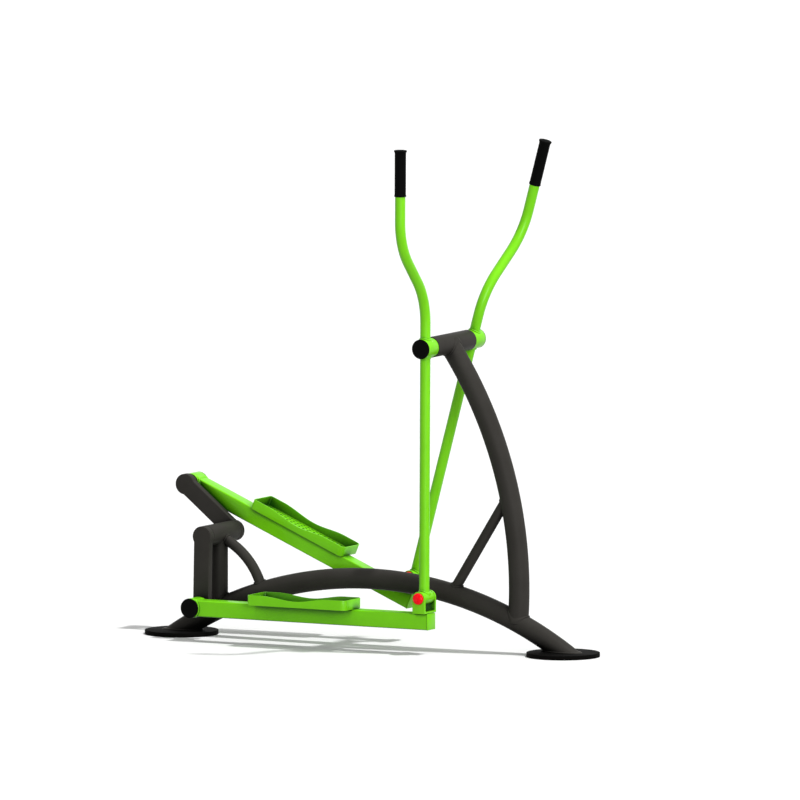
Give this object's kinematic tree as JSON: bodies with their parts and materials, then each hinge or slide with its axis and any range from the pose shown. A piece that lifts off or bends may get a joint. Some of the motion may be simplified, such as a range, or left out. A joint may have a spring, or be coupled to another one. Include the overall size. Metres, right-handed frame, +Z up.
{
  "type": "outdoor air walker",
  "caption": "Outdoor elliptical walker with two swinging hand levers, footplate beams on a rear crank, a bent column and a low arched tube on round base plates.",
  "frame": {"origin": "on the ground, midway between the two base plates and between the two levers", "axes": "+X the way the user faces, +Y the user's left, +Z up"},
  "size_m": [1.86, 0.8, 1.8739],
  "materials": {
    "green_paint": "bright green powder coat, satin gloss",
    "charcoal_paint": "dark charcoal powder coat, satin",
    "red_plastic": "glossy moulded red plastic",
    "black_plastic": "matt black moulded plastic",
    "black_rubber": "matt black rubber",
    "bright_steel": "machined steel",
    "bronze": "sintered bronze"
  },
  "bodies": {
    "frame": {"main_arch_tube": "charcoal_paint", "rear_base_plate": "charcoal_paint", "front_base_plate": "charcoal_paint", "front_column_tube": "charcoal_paint", "column_strut": "charcoal_paint", "crank_post": "charcoal_paint", "curved_brace": "charcoal_paint", "crossbar_tube": "charcoal_paint", "crank_bearing_housing": "charcoal_paint", "pivot_axle": "bright_steel", "right_axle_plug": "charcoal_paint", "left_axle_plug": "charcoal_paint", "right_crank_bearing": "bright_steel", "left_crank_bearing": "bright_steel"},
    "crankset": {"crank_shaft": "bright_steel", "right_crank_arm": "charcoal_paint", "left_crank_arm": "charcoal_paint"},
    "right_lever": {"right_hub_sleeve": "green_paint", "right_lower_lever_tube": "green_paint", "right_handle_tube": "green_paint", "right_hand_grip": "black_rubber", "right_lever_boss": "green_paint", "right_boss_bush": "bronze", "right_inner_hub_bearing": "bright_steel", "right_outer_hub_bearing": "bright_steel", "right_hub_cap": "black_plastic"},
    "right_bolt_set": {"right_lever_bolt": "bright_steel", "right_lever_nut": "bright_steel", "right_outer_red_cap": "red_plastic", "right_inner_red_cap": "red_plastic"},
    "right_pedal_beam": {"right_beam_tube": "green_paint", "right_beam_end_plate": "green_paint", "right_rear_sleeve": "green_paint", "right_clevis_bracket": "green_paint", "right_footplate_tray": "green_paint", "right_crank_pin": "bright_steel", "right_pin_bush": "bronze", "right_pin_cap": "black_plastic"},
    "left_lever": {"left_hub_sleeve": "green_paint", "left_lower_lever_tube": "green_paint", "left_handle_tube": "green_paint", "left_hand_grip": "black_rubber", "left_lever_boss": "green_paint", "left_boss_bush": "bronze", "left_inner_hub_bearing": "bright_steel", "left_outer_hub_bearing": "bright_steel", "left_hub_cap": "black_plastic"},
    "left_bolt_set": {"left_lever_bolt": "bright_steel", "left_lever_nut": "bright_steel", "left_outer_red_cap": "red_plastic", "left_inner_red_cap": "red_plastic"},
    "left_pedal_beam": {"left_beam_tube": "green_paint", "left_beam_end_plate": "green_paint", "left_rear_sleeve": "green_paint", "left_clevis_bracket": "green_paint", "left_footplate_tray": "green_paint", "left_crank_pin": "bright_steel", "left_pin_bush": "bronze", "left_pin_cap": "black_plastic"}
  },
  "joints": [
    {"name": "crank_turn", "type": "hinge", "parent": "frame", "child": "crankset", "pos_m": [-0.641, 0, 0.377], "axis": [0, 1, 0], "continuous": true},
    {"name": "right_lever_swing", "type": "hinge", "parent": "frame", "child": "right_lever", "pos_m": [0.319, -0.18, 1.1255], "axis": [0, 1, 0], "range_deg": [-16.18, 16.4]},
    {"name": "right_bolt_turn", "type": "hinge", "parent": "right_lever", "child": "right_bolt_set", "pos_m": [0.31455, -0.18, 0.20801], "axis": [0, 1, 0], "range_deg": [-16.4, 16.18]},
    {"name": "right_beam_tilt", "type": "hinge", "parent": "right_bolt_set", "child": "right_pedal_beam", "pos_m": [0.31455, -0.18, 0.20801], "axis": [0, 1, 0], "range_deg": [0, 30.97]},
    {"name": "left_lever_swing", "type": "hinge", "parent": "frame", "child": "left_lever", "pos_m": [0.319, 0.18, 1.1255], "axis": [0, 1, 0], "range_deg": [-31.15, 1.43]},
    {"name": "left_bolt_turn", "type": "hinge", "parent": "left_lever", "child": "left_bolt_set", "pos_m": [0.07771, 0.18, 0.2403], "axis": [0, 1, 0], "range_deg": [-1.43, 31.15]},
    {"name": "left_beam_tilt", "type": "hinge", "parent": "left_bolt_set", "child": "left_pedal_beam", "pos_m": [0.07771, 0.18, 0.2403], "axis": [0, 1, 0], "range_deg": [-23.08, 7.9]}
  ],
  "couplings": [
    {"joint": "right_bolt_turn", "follows": "right_lever_swing", "ratio": -1},
    {"joint": "left_bolt_turn", "follows": "left_lever_swing", "ratio": -1}
  ]
}
